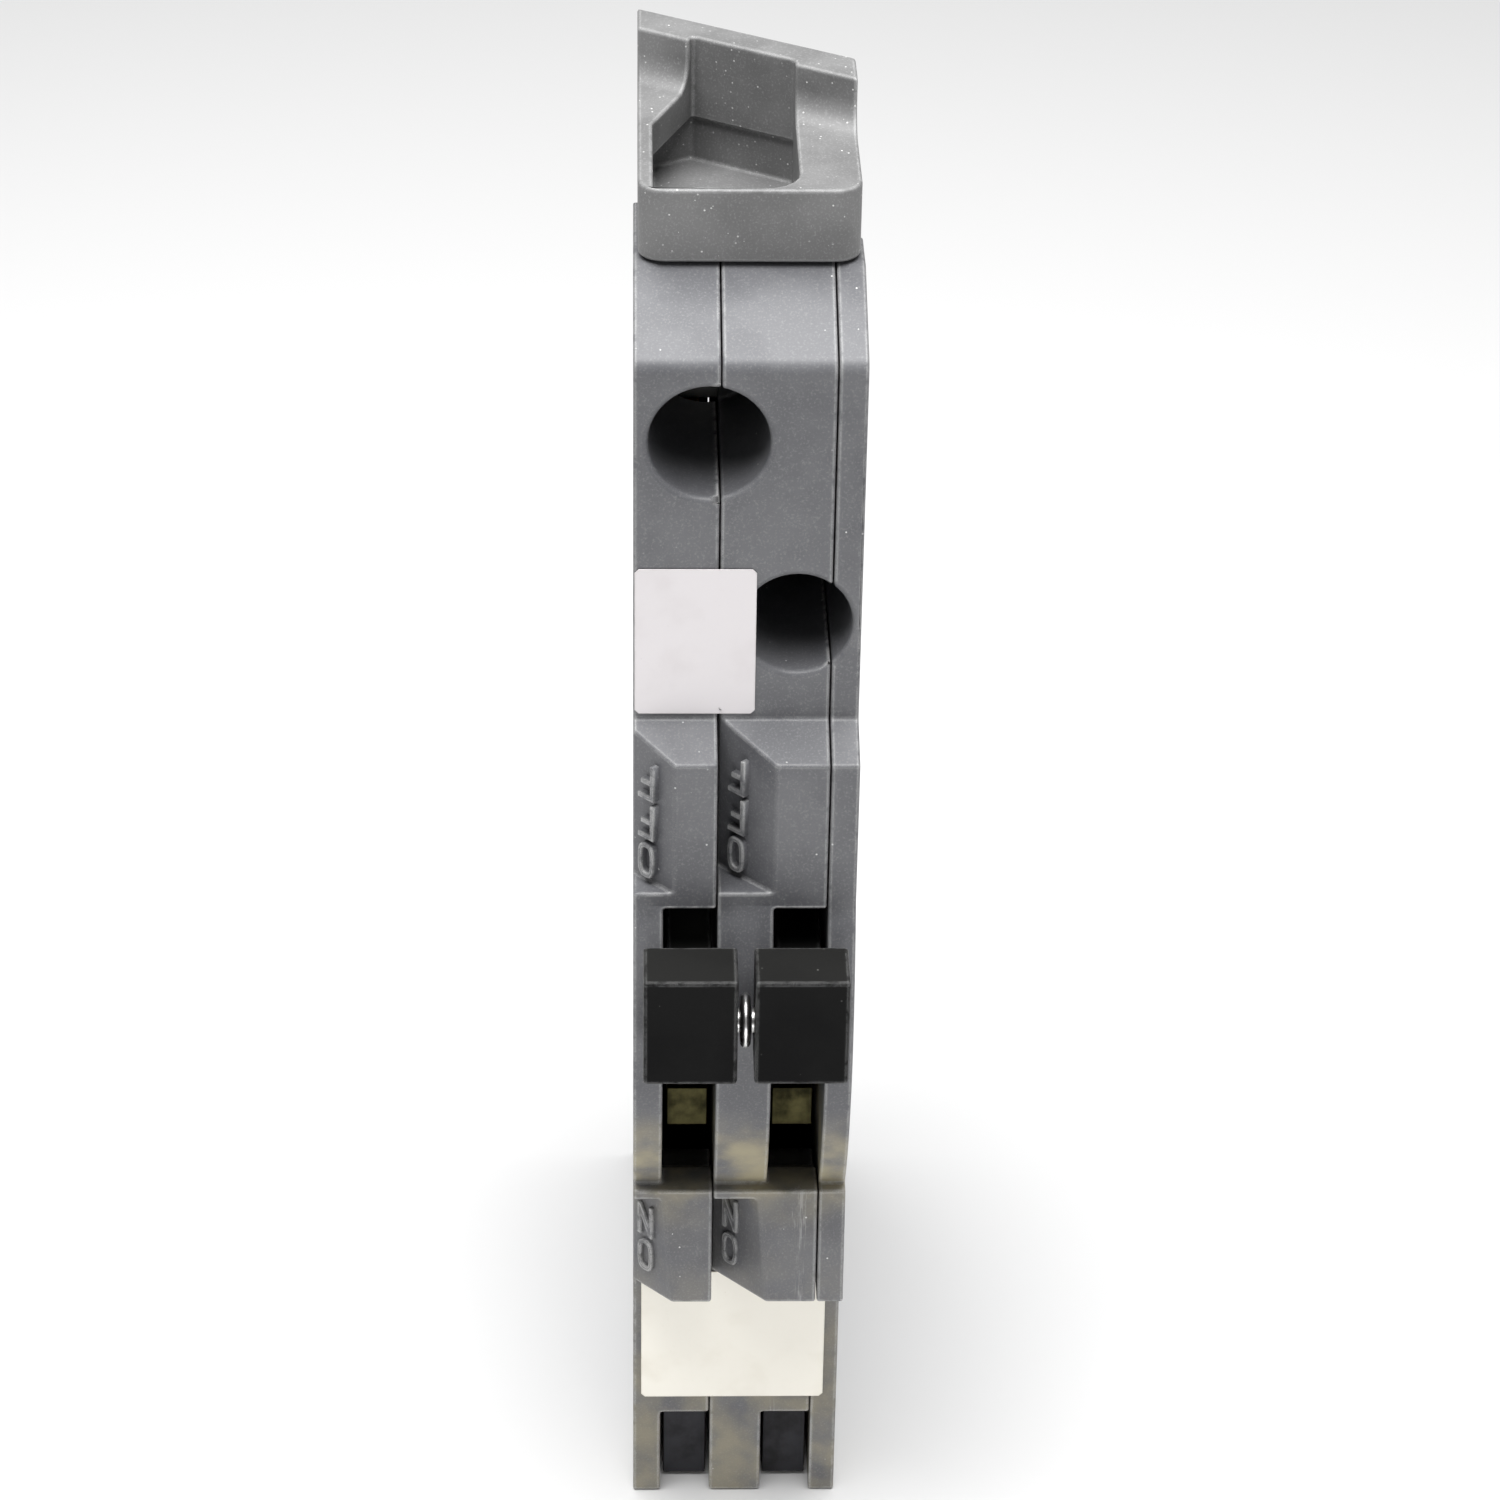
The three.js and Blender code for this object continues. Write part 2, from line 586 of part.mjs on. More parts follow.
const tieSpan = (extra) => around((POLES[0] + POLES[1]) / 2, TIE_LENGTH + 2 * extra);
const tieDepth = () => TIE_BEHIND_FRONT - HANDLE_PROUD;
const tieHeight = () => PIVOT_HEIGHT + HANDLE_REST - 1.2;

function tiePin() {
  const middle = (POLES[0] + POLES[1]) / 2;
  const half = COLLAR_WIDTH / 2;
  const profile = [
    new THREE.Vector2(0, -half),
    new THREE.Vector2(COLLAR_RADIUS - half * 0.8, -half),
    new THREE.Vector2(COLLAR_RADIUS - half * 0.2, -half * 0.6),
    new THREE.Vector2(COLLAR_RADIUS, 0),
    new THREE.Vector2(COLLAR_RADIUS - half * 0.2, half * 0.6),
    new THREE.Vector2(COLLAR_RADIUS - half * 0.8, half),
    new THREE.Vector2(0, half),
  ];
  const collar = new THREE.LatheGeometry(profile, 32);
  collar.rotateZ(-Math.PI / 2);
  collar.translate(middle, at(tieDepth()), tieHeight());
  return solid(collar).add(rodX(TIE_RADIUS, tieSpan(0), tieDepth(), tieHeight()));
}

const pivotPin = () =>
  rodX(PIVOT_PIN_RADIUS, [LEFT + SIDE_WALL / 2 + CLEARANCE, SEAM_2 - CLEARANCE], CROWN_CENTRE,
    PIVOT_HEIGHT);

// ---- Contacts and line jaw ----
const postHole = (pole, pivot) =>
  rodX(POST_RADIUS + CLEARANCE / 2, around(pole, 12), pivot.depth, pivot.height, 16);

function movingArm(pole) {
  const low = CONTACT_HEIGHT - CONTACT_RADIUS - 0.6;
  const bend = CONTACT_HEIGHT + 4;
  const back = ARM_CONTACT_DEPTH;
  const front = back - ARM_THICKNESS;
  const { depth, height } = ARM_PIVOT;
  const tipTop = height + ARM_TIP_RISE;
  const outline = [
    [front, low],
    [back, low],
    [back, bend],
    [depth + 3.4, height - 6],
    [depth + 2.4, height + 1.6],
    [depth + 1.6, tipTop],
    [depth - ARM_REACH, tipTop],
    [depth - ARM_REACH, tipTop - ARM_TIP_HEIGHT],
    [depth - 3.4, height - 3.6],
    [depth + 0.2, height - 9],
    [front, bend],
  ];
  return prism(outline, around(pole, BLADE_WIDTH)).subtract(postHole(pole, ARM_PIVOT));
}

const movingContact = (pole) =>
  rodY(CONTACT_RADIUS, pole, [ARM_CONTACT_DEPTH + 0.05, ARM_CONTACT_DEPTH + 1.2], CONTACT_HEIGHT);

const fixedContact = (pole) =>
  rodY(CONTACT_RADIUS, pole, [STRAP_DEPTH - 1.2, STRAP_DEPTH - 0.05], CONTACT_HEIGHT + ARM_LIFT);

function lineJaw(pole) {
  const outer = SLOT_WIDTH - 4 * CLEARANCE - 2 * SPRING_LEAF;
  const leaf = (outer - STAB_GAP) / 2;
  const front = PANEL_DEPTH + 3.1;
  const back = 24;
  const top = BUS_SLOT_HEIGHT - 0.5;
  const jaw = block(around(pole, outer), [front, back], [0.9, top])
    .subtract(block(around(pole, STAB_GAP), [front + leaf, back + 1], [0, top + 1]));
  const bridge = block(around(pole, outer), [back - 6, STRAP_DEPTH + STRAP_THICKNESS],
    [top - 0.5, top + 0.8]);
  const riser = block(around(pole, outer), [STRAP_DEPTH, STRAP_DEPTH + STRAP_THICKNESS],
    [top - 0.5, CONTACT_HEIGHT + 6]);
  return union([jaw, bridge, riser]);
}

function jawSpring(pole) {
  const outer = SLOT_WIDTH - 2 * CLEARANCE;
  const front = PANEL_DEPTH + 2.1;
  const z = [0.4, BUS_SLOT_HEIGHT - CLEARANCE];
  return block(around(pole, outer), [front, front + 10], z)
    .subtract(block(around(pole, outer - 2 * SPRING_LEAF), [front + SPRING_LEAF, front + 11], [-1, HEIGHT]));
}

function arcPlate(pole, index) {
  const height = CONTACT_HEIGHT - 5 + index * ARC_PLATE_PITCH;
  return block(around(pole, BLADE_WIDTH), [STRAP_DEPTH + 4, STRAP_DEPTH + 16], [height, height + 1.2]);
}

// ---- Trip unit ----
function cradle(pole) {
  const outline = [
    [CRADLE_PIVOT.depth - 2.6, CRADLE_PIVOT.height - 2],
    [CRADLE_PIVOT.depth + 2, CRADLE_PIVOT.height - 2.6],
    [CRADLE_PIVOT.depth + 3.4, CRADLE_PIVOT.height + 14],
    [CRADLE_PIVOT.depth + 1.6, CRADLE_PIVOT.height + 28],
    [CRADLE_PIVOT.depth - 0.4, CRADLE_PIVOT.height + 28],
    [CRADLE_PIVOT.depth - 0.6, CRADLE_PIVOT.height + 16],
  ];
  return prism(outline, around(pole, BLADE_WIDTH)).subtract(postHole(pole, CRADLE_PIVOT));
}

// Toggle spring, wound between the arm and the cradle.
function operatingSpring(pole) {
  const turns = 7;
  const from = new THREE.Vector3(pole, at(ARM_PIVOT.depth + 8.2), ARM_PIVOT.height - 4);
  const to = new THREE.Vector3(pole, at(CRADLE_PIVOT.depth - 4), CRADLE_PIVOT.height - 6);
  const run = new THREE.Vector3().subVectors(to, from);
  const across = new THREE.Vector3(1, 0, 0);
  const up = new THREE.Vector3().crossVectors(run, across).normalize();
  const points = [];
  for (let i = 0; i <= turns * 8; i += 1) {
    const angle = (i * Math.PI) / 4;
    points.push(from.clone()
      .addScaledVector(run, i / (turns * 8))
      .addScaledVector(across, 1.3 * Math.cos(angle))
      .addScaledVector(up, 1.3 * Math.sin(angle)));
  }
  const wire = new THREE.Shape();
  wire.absarc(0, 0, 0.32, 0, 2 * Math.PI);
  return solid(new THREE.ExtrudeGeometry(wire, {
    extrudePath: new THREE.CatmullRomCurve3(points),
    steps: turns * 10,
    curveSegments: 3,
    bevelEnabled: false,
  }));
}

const bimetal = (pole) =>
  block(around(pole, BIMETAL.width), [BIMETAL.depth, BIMETAL.depth + BIMETAL.thickness],
    [BIMETAL.low, BIMETAL.high]);

// A steel channel round the bimetal, open towards the armature.
function magnetYoke(pole) {
  const z = [BIMETAL.low + 5, BIMETAL.low + 14];
  const inner = BIMETAL.width + 2 * CLEARANCE;
  const back = BIMETAL.depth + 3.6;
  return block(around(pole, inner + 1), [BIMETAL.depth - 1.5, back], z)
    .subtract(block(around(pole, inner), [0, back - 1.2], [0, HEIGHT]));
}

function armature(pole) {
  const outline = [
    [ARMATURE_PIVOT.depth - 0.5, BIMETAL.low + 2],
    [ARMATURE_PIVOT.depth + 0.6, BIMETAL.low + 2],
    [ARMATURE_PIVOT.depth + 0.6, ARMATURE_PIVOT.height - 3],
    [ARMATURE_PIVOT.depth + 2, ARMATURE_PIVOT.height + 1.6],
    [ARMATURE_PIVOT.depth - 2, ARMATURE_PIVOT.height + 1.6],
    [ARMATURE_PIVOT.depth - 0.5, ARMATURE_PIVOT.height - 3],
  ];
  return prism(outline, around(pole, BLADE_WIDTH)).subtract(postHole(pole, ARMATURE_PIVOT));
}

// Flexible copper braid from the arm's side of the case to the bimetal.
function braid(pole) {
  const path = new THREE.CatmullRomCurve3([
    [STRAP_DEPTH - 4, CONTACT_HEIGHT + 12],
    [STRAP_DEPTH + 0.5, CONTACT_HEIGHT + 14.5],
    [CRADLE_PIVOT.depth + 1, CRADLE_PIVOT.height - 11.5],
    [BIMETAL.depth - 1, CRADLE_PIVOT.height - 5],
    [BIMETAL.depth + 0.5, BIMETAL.low - 9],
    [BIMETAL.depth + 0.4, BIMETAL.low - 0.6],
  ].map(([depth, height]) => new THREE.Vector3(pole, at(depth), height)));
  const section = new THREE.Shape();
  section.absarc(0, 0, 1.0, 0, 2 * Math.PI);
  return solid(new THREE.ExtrudeGeometry(section, {
    extrudePath: path, steps: 18, curveSegments: 4, bevelEnabled: false,
  }));
}

// One bar across both poles, so that a fault on either trips both.
function tripBar() {
  const bar = rodX(TRIP_BAR.radius, [LEFT + SIDE_WALL + CLEARANCE, SEAM_2 - CLEARANCE - SEAM_GAP],
    TRIP_BAR.depth, TRIP_BAR.height, 20);
  const finger = (pole) => block(around(pole, 2.4), [TRIP_BAR.depth - 0.7, TRIP_BAR.depth + 0.7],
    [TRIP_BAR.height - 6, TRIP_BAR.height]);
  return union([bar, ...POLES.map(finger)]);
}

// ---- Terminals ----
function terminalLug(index) {
  const lug = LUGS[index];
  const x = LEFT + lug.x;
  const height = wellHeight(WELLS[index]);
  return block(around(x, LUG_WIDTH), around(lug.depth, LUG_LENGTH), around(height, LUG_HEIGHT))
    .subtract(rodY(WIRE_RADIUS, x, around(lug.depth, 2 * LUG_LENGTH), height))
    .subtract(block(around(x, 2 * WIRE_RADIUS), around(lug.depth, 2 * LUG_LENGTH),
      [height, height + WIRE_RADIUS]))
    .subtract(rodZ(SCREW_RADIUS + CLEARANCE / 2, x, lug.depth, [height, height + LUG_HEIGHT]));
}

const lugTop = (index) => wellHeight(WELLS[index]) + LUG_HEIGHT / 2;

function terminalScrew(index) {
  const lug = LUGS[index];
  const x = LEFT + lug.x;
  const headLow = lugTop(index) + CLEARANCE + CLAMP_TRAVEL;
  const headTop = headLow + SCREW_HEAD_HEIGHT;
  const shankLow = wellHeight(WELLS[index]) + WIRE_RADIUS - 0.3;
  return rodZ(SCREW_RADIUS, x, lug.depth, [shankLow, headTop])
    .add(rodZ(SCREW_HEAD, x, lug.depth, [headLow, headTop]))
    .subtract(block(around(x, 0.9), around(lug.depth, 6), [headTop - 0.9, headTop + 1]));
}

function pressurePlate(index) {
  const lug = LUGS[index];
  const x = LEFT + lug.x;
  const top = wellHeight(WELLS[index]) + WIRE_RADIUS - 0.6;
  return block(around(x, 2 * WIRE_RADIUS - 2 * CLEARANCE), around(lug.depth, LUG_LENGTH - 2),
    [top - 0.9, top]);
}

// A strip of metal of one thickness that follows a path of [depth, height] points.
function ribbon(path, thickness, x) {
  const edge = (side) => path.map((point, i) => {
    const before = new THREE.Vector2(...(path[i - 1] ?? point));
    const after = new THREE.Vector2(...(path[i + 1] ?? point));
    const here = new THREE.Vector2(...point);
    const into = here.clone().sub(before).normalize();
    const out = after.clone().sub(here).normalize();
    const along = into.clone().add(out).normalize();
    const stretch = along.dot(into.lengthSq() > 0 ? into : out);
    const reach = (side * thickness) / 2 / stretch;
    return [here.x - along.y * reach, here.y + along.x * reach];
  });
  return prism([...edge(1), ...edge(-1).reverse()], x);
}

// Strap from the top of the bimetal to the rear of the lug.
function loadStrap(pole, index) {
  const depth = BIMETAL.depth + BIMETAL.thickness + CLEARANCE + STRAP_THICKNESS / 2;
  const rear = LUGS[index].depth + LUG_LENGTH / 2 + CLEARANCE;
  const height = wellHeight(WELLS[index]) - LUG_HEIGHT / 2 + 1.4;
  const flat = rear + 2;
  const room = Math.min(STRAP_CLIMB, depth - flat - STRAP_THICKNESS);
  const climb = Math.min(Math.max(0, height - BIMETAL.high - 12), room);
  return ribbon([
    [depth, BIMETAL.high - 3],
    [depth, height - climb],
    [flat + climb, height],
    [rear, height],
  ], STRAP_THICKNESS, around(pole, BIMETAL.width));
}

const footScrew = () => {
  const x = FOOT_LEFT + FOOT_SCREW_X;
  const floor = RIDGE + FOOT_FLOOR;
  return rodZ(FOOT_SCREW_HOLE - CLEARANCE / 2, x, FOOT_SCREW_DEPTH, [floor - 1.8, floor - 0.4])
    .subtract(block(around(x, 0.6), around(FOOT_SCREW_DEPTH, 6), [floor - 1.1, floor + 1]));
};

// ---- Labels ----
// A sheet of paper with cut corners. Its edges are counted down from a height, and it lies on
// the face at that depth.
function label(edges, face, height) {
  const left = LEFT + edges.left;
  const right = LEFT + edges.right;
  const bottom = height - edges.bottom;
  const top = height - edges.top;
  const outline = [
    [left + LABEL_CORNER, bottom],
    [right - LABEL_CORNER, bottom],
    [right, bottom + LABEL_CORNER],
    [right, top - LABEL_CORNER],
    [right - LABEL_CORNER, top],
    [left + LABEL_CORNER, top],
    [left, top - LABEL_CORNER],
    [left, bottom + LABEL_CORNER],
  ];
  const geometry = extrude(outline, PAPER);
  geometry.rotateX(Math.PI / 2);
  geometry.translate(0, at(face - PAPER_GAP), 0);
  return solid(geometry);
}

// ---- Assembly ----
part('left_case', leftCase(), CASE);
part('centre_case', centreCase(), CASE);
part('right_cover', rightCover(), CASE);
part('mounting_foot', mountingFoot(), FOOT);
part('foot_screw', footScrew(), STEEL);
RIVETS.forEach((place, i) => part(`case_rivet_${i + 1}`, rivet(place), STEEL));
part('load_end_label', label(TOP_LABEL, 0, RIDGE), WHITE_PAPER);
part('line_end_label', label(LOW_LABEL, PANEL_DEPTH, PANEL_TOP), CREAM_PAPER);

part('handle_left', handle(POLES[0]), BLACK);
part('handle_right', handle(POLES[1]), BLACK);
part('handle_tie_pin', tiePin(), STEEL);
part('handle_pivot_pin', pivotPin(), STEEL);
part('trip_bar', tripBar(), BLACK);

POLES.forEach((pole, i) => {
  const n = i + 1;
  part(`moving_arm_${n}`, movingArm(pole), BRASS);
  part(`moving_contact_${n}`, movingContact(pole), SILVER);
  part(`fixed_contact_${n}`, fixedContact(pole), SILVER);
  part(`line_jaw_${n}`, lineJaw(pole), COPPER);
  part(`jaw_spring_${n}`, jawSpring(pole), DARK_STEEL);
  for (let j = 0; j < ARC_PLATES; j += 1) {
    part(`arc_plate_${n}${'abc'[j]}`, arcPlate(pole, j), DARK_STEEL);
  }
  part(`cradle_${n}`, cradle(pole), STEEL);
  part(`operating_spring_${n}`, operatingSpring(pole), STEEL);
  part(`bimetal_${n}`, bimetal(pole), BRASS);
  part(`magnet_yoke_${n}`, magnetYoke(pole), DARK_STEEL);
  part(`armature_${n}`, armature(pole), DARK_STEEL);
  part(`braid_${n}`, braid(pole), COPPER);
  part(`load_strap_${n}`, loadStrap(pole, i), COPPER);
  part(`terminal_lug_${n}`, terminalLug(i), SILVER);
  part(`terminal_screw_${n}`, terminalScrew(i), STEEL);
  part(`pressure_plate_${n}`, pressurePlate(i), STEEL);
});

export default object;
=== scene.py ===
# %% [markdown]
# # A thin two-pole circuit breaker
#
# The real object is a sandwich of three grey mouldings held by four rivets, with a separate
# mounting foot at its load end, two black handles tied by a bright pin, two paper labels, and all
# its copper, brass and steel inside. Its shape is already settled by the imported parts, so this
# lesson gives each part its softened edges, its finish and the small raised details on top.

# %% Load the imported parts
import json
import math

import bpy
from mathutils import Matrix, Vector


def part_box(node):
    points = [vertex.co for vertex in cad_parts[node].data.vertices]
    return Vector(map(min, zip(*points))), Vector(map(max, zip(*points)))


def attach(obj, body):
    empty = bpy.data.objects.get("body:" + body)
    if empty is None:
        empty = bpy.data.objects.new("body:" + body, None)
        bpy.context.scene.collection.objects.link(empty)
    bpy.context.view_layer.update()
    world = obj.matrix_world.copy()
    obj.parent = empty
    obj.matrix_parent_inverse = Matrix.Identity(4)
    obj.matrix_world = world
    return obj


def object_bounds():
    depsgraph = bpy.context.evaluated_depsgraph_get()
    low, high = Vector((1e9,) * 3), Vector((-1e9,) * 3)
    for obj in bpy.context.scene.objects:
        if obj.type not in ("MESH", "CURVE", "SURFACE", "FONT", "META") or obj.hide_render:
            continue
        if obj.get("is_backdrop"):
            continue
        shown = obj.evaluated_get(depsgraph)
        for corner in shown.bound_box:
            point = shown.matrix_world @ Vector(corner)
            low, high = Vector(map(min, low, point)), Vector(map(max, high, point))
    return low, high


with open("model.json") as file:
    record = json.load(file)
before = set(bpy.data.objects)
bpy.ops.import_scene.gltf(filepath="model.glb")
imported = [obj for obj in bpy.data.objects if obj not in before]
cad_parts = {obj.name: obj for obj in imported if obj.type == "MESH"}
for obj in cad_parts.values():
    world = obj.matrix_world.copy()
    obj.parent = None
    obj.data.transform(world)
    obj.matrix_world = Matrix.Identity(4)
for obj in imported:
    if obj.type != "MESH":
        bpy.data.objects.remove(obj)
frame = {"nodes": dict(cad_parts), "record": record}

MM = 0.001
cad_low, cad_high = (Vector(corner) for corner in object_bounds())
nodes = frame["nodes"]
print("parts:", len(nodes), "size mm:", [round(side / MM, 1) for side in cad_high - cad_low])


# %% [markdown]
# ## The camera
#
# A breaker reads best from a little above its front, through a long lens so that its sides stay
# almost parallel. Blender's camera looks along its own -Z, so a quarter turn about X makes it look
# level along +Y, and less than a quarter turn makes it look down. The small turn to the right is
# made about the camera's own upright axis, after the tilt, so that the breaker's left side still
# runs straight up the picture. The lens and the distance go together: a longer lens from further
# away gives the same size with less perspective.

# %% Camera
LOOK_DOWN = 31.0
LOOK_RIGHT = 1.56
LENS = 102.8
CAMERA_PLACE = Vector((-9.5, -339.0, 270.3)) * MM

camera_data = bpy.data.cameras.new("camera")
camera_data.lens = LENS
camera_data.sensor_width = 36
camera_data.clip_start = 0.01
camera = bpy.data.objects.new("camera", camera_data)
tilt = Matrix.Rotation(math.radians(90 - LOOK_DOWN), 4, "X")
turn_right = Matrix.Rotation(math.radians(-LOOK_RIGHT), 4, "Y")
camera.matrix_world = Matrix.Translation(CAMERA_PLACE) @ tilt @ turn_right
bpy.context.scene.collection.objects.link(camera)
bpy.context.scene.camera = camera
print("camera height mm:", round(camera.location.z / MM, 1))


# %% [markdown]
# ## The floor and the light
#
# Grey plastic shows its shape through soft, broad light. One large lamp over the load end makes
# the faces that look up bright and leaves the upright faces darker, and the white floor throws
# light back up under the lower edges. Two weak lamps fill the sides, and a small one low in front
# lifts the line end. Area lamps are used rather than points, because their size is what makes the
# shadows soft.

# %% Floor and lights
FLOOR_SIDE = 3.0
FLOOR_GAP = 0.0001
FLOOR_TONE = 0.66
FLOOR_ROUGHNESS = 0.9
LIGHT_REACH = 0.55
ROOM_LIGHT = 0.28

floor_mesh = bpy.data.meshes.new("floor")
half = FLOOR_SIDE / 2
corners = [(-half, -half, 0), (half, -half, 0), (half, half, 0), (-half, half, 0)]
floor_mesh.from_pydata(corners, [], [(0, 1, 2, 3)])
floor = bpy.data.objects.new("floor", floor_mesh)
floor.location.z = cad_low.z - FLOOR_GAP
bpy.context.scene.collection.objects.link(floor)
floor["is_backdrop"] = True
pale = bpy.data.materials.new("pale_floor")
pale.use_nodes = True
pale_shader = pale.node_tree.nodes["Principled BSDF"]
pale_shader.inputs["Base Color"].default_value = (FLOOR_TONE, FLOOR_TONE, FLOOR_TONE, 1)
pale_shader.inputs["Roughness"].default_value = FLOOR_ROUGHNESS
floor_mesh.materials.append(pale)


def area_lamp(name, place, target, side, power):
    """A square soft lamp at one point, facing another."""
    data = bpy.data.lights.new(name, "AREA")
    data.size = side
    data.energy = power
    lamp = bpy.data.objects.new(name, data)
    lamp.location = place
    lamp.rotation_euler = (Vector(target) - Vector(place)).to_track_quat("-Z", "Y").to_euler()
    lamp.visible_camera = False
    bpy.context.scene.collection.objects.link(lamp)
    return lamp


middle = (cad_low + cad_high) / 2
# Each lamp's name, its direction from the breaker, its side in metres and its power in watts.
LAMPS = (
    ("top_lamp", (-0.05, -0.10, 1.0), 0.5, 7.6),
    ("left_lamp", (-1.0, -0.6, 0.4), 0.5, 0.20),
    ("right_lamp", (1.0, -0.5, 0.3), 0.4, 0.3),
)
for name, direction, side, power in LAMPS:
    area_lamp(name, middle + Vector(direction) * LIGHT_REACH, middle, side, power)

LOW_LAMP_OFFSET = Vector((0, -0.11, -0.02))
low_end = Vector((0, cad_low.y, 0.03))
area_lamp("low_lamp", low_end + LOW_LAMP_OFFSET, low_end, 0.08, 0.055)

world = bpy.data.worlds.new("studio")
world.use_nodes = True
world.node_tree.nodes["Background"].inputs["Color"].default_value = (1, 1, 1, 1)
world.node_tree.nodes["Background"].inputs["Strength"].default_value = ROOM_LIGHT
bpy.context.scene.world = world
bpy.context.scene.view_settings.view_transform = "Standard"


# %% [markdown]
# ## Effects that several finishes share
#
# Wear (on the black handles also a painted edge highlight), grain, dust and scratches turn up on
# many of the pieces, so each one is built once as a shader node group and then placed in a material
# with that material's own values. A small helper that adds a node and wires its inputs keeps each
# group short enough to read.

# %% Helpers for shader nodes
def add(tree, kind, inputs=(), **settings):
    """Adds a node, sets its options, and sets or wires its inputs by name or number."""
    node = tree.nodes.new(kind)
    for name, value in settings.items():
        setattr(node, name, value)
    for name, value in dict(inputs).items():
        if isinstance(value, bpy.types.NodeSocket):
            tree.links.new(value, node.inputs[name])
        else:
            node.inputs[name].default_value = value
    return node


def new_group(name, inputs, outputs):
    """An empty shader group with named sockets: {name: default} in, {name: kind} out."""
    group = bpy.data.node_groups.new(name, "ShaderNodeTree")
    for socket, default in inputs.items():
        kind = "NodeSocketColor" if isinstance(default, tuple) else "NodeSocketFloat"
        made = group.interface.new_socket(socket, in_out="INPUT", socket_type=kind)
        made.default_value = default
    for socket, kind in outputs.items():
        group.interface.new_socket(socket, in_out="OUTPUT", socket_type=kind)
    return group, group.nodes.new("NodeGroupInput"), group.nodes.new("NodeGroupOutput")


def math_of(tree, operation, first, second, third=0.0, clamp=False):
    """One Math node, by its operation's name, and its result. MULTIPLY_ADD is first x second + third."""
    values = {0: first, 1: second, 2: third}
    return add(tree, "ShaderNodeMath", values, operation=operation, use_clamp=clamp).outputs[0]


def ramp(tree, value, low, high):
    """0 below low, 1 above high and smooth between them."""
    node = add(tree, "ShaderNodeMapRange", {"Value": value, "From Min": low, "From Max": high},
               interpolation_type="SMOOTHSTEP")
    return node.outputs["Result"]


def noise(tree, place, scale, detail=2.0, roughness=0.5):
    """A cloudy value from 0 to 1 that changes over the surface."""
    node = add(tree, "ShaderNodeTexNoise",
               {"Vector": place, "Scale": scale, "Detail": detail, "Roughness": roughness})
    return node.outputs["Fac"]


def object_place(tree):
    """The point on the piece, in metres."""
    return add(tree, "ShaderNodeTexCoord").outputs["Object"]


# %% Edge wear, also used as a painted edge highlight
BEND_OF_AN_EDGE = (0.003, 0.07)
EDGE_PATCHES = (0.30, 0.55)
wear_and_highlight, wear_and_highlight_in, wear_and_highlight_out = new_group(
    "edge_wear_and_highlight",
    {"Radius": 0.0005, "Patch Scale": 900.0, "Amount": 0.6},
    {"Mask": "NodeSocketFloat"},
)
# An edge mask: real wear on most pieces, and on the black handles also a painted edge highlight.
rounded = add(wear_and_highlight, "ShaderNodeBevel", {"Radius": wear_and_highlight_in.outputs["Radius"]}, samples=6)
true_normal = add(wear_and_highlight, "ShaderNodeNewGeometry").outputs["Normal"]
turned = add(wear_and_highlight, "ShaderNodeVectorMath", {0: rounded.outputs[0], 1: true_normal},
             operation="DOT_PRODUCT")
bent = ramp(wear_and_highlight, math_of(wear_and_highlight, "SUBTRACT", 1.0, turned.outputs["Value"]), *BEND_OF_AN_EDGE)
cloudy = noise(wear_and_highlight, object_place(wear_and_highlight), wear_and_highlight_in.outputs["Patch Scale"], 4.0, 0.65)
patchy_edge = math_of(wear_and_highlight, "MULTIPLY", bent, ramp(wear_and_highlight, cloudy, *EDGE_PATCHES))
kept = math_of(wear_and_highlight, "MULTIPLY", patchy_edge, wear_and_highlight_in.outputs["Amount"], clamp=True)
wear_and_highlight.links.new(kept, wear_and_highlight_out.inputs["Mask"])
print("group:", wear_and_highlight.name, "nodes:", len(wear_and_highlight.nodes))

# %% Moulded grain
grain, grain_in, grain_out = new_group(
    "moulded_grain",
    {"Grain Scale": 5200.0, "Cloud Scale": 140.0},
    {"Height": "NodeSocketFloat", "Grain": "NodeSocketFloat", "Clouds": "NodeSocketFloat"},
)
place = object_place(grain)
fine = noise(grain, place, grain_in.outputs["Grain Scale"], 3.0, 0.7)
coarse_scale = math_of(grain, "MULTIPLY", grain_in.outputs["Grain Scale"], 0.22)
coarse = noise(grain, place, coarse_scale, 2.0, 0.5)
grain.links.new(math_of(grain, "ADD", fine, coarse), grain_out.inputs["Height"])
grain.links.new(fine, grain_out.inputs["Grain"])
clouds = noise(grain, place, grain_in.outputs["Cloud Scale"], 4.0, 0.55)
grain.links.new(clouds, grain_out.inputs["Clouds"])
print("group:", grain.name, "nodes:", len(grain.nodes))

# %% Dust specks
dust, dust_in, dust_out = new_group(
    "dust_specks",
    {"Scale": 1500.0, "Size": 0.12, "Cover": 0.5},
    {"Mask": "NodeSocketFloat"},
)
place = object_place(dust)
cells = add(dust, "ShaderNodeTexVoronoi",
            {"Vector": place, "Scale": dust_in.outputs["Scale"], "Randomness": 1.0})
near = math_of(dust, "LESS_THAN", cells.outputs["Distance"], dust_in.outputs["Size"])
chance = add(dust, "ShaderNodeSeparateColor", {"Color": cells.outputs["Color"]}).outputs["Red"]
chosen = math_of(dust, "LESS_THAN", chance, dust_in.outputs["Cover"])
drift = ramp(dust, noise(dust, place, 160.0, 3.0), 0.38, 0.60)
seen = math_of(dust, "MULTIPLY", math_of(dust, "MULTIPLY", near, chosen), drift)
dust.links.new(seen, dust_out.inputs["Mask"])
print("group:", dust.name, "nodes:", len(dust.nodes))

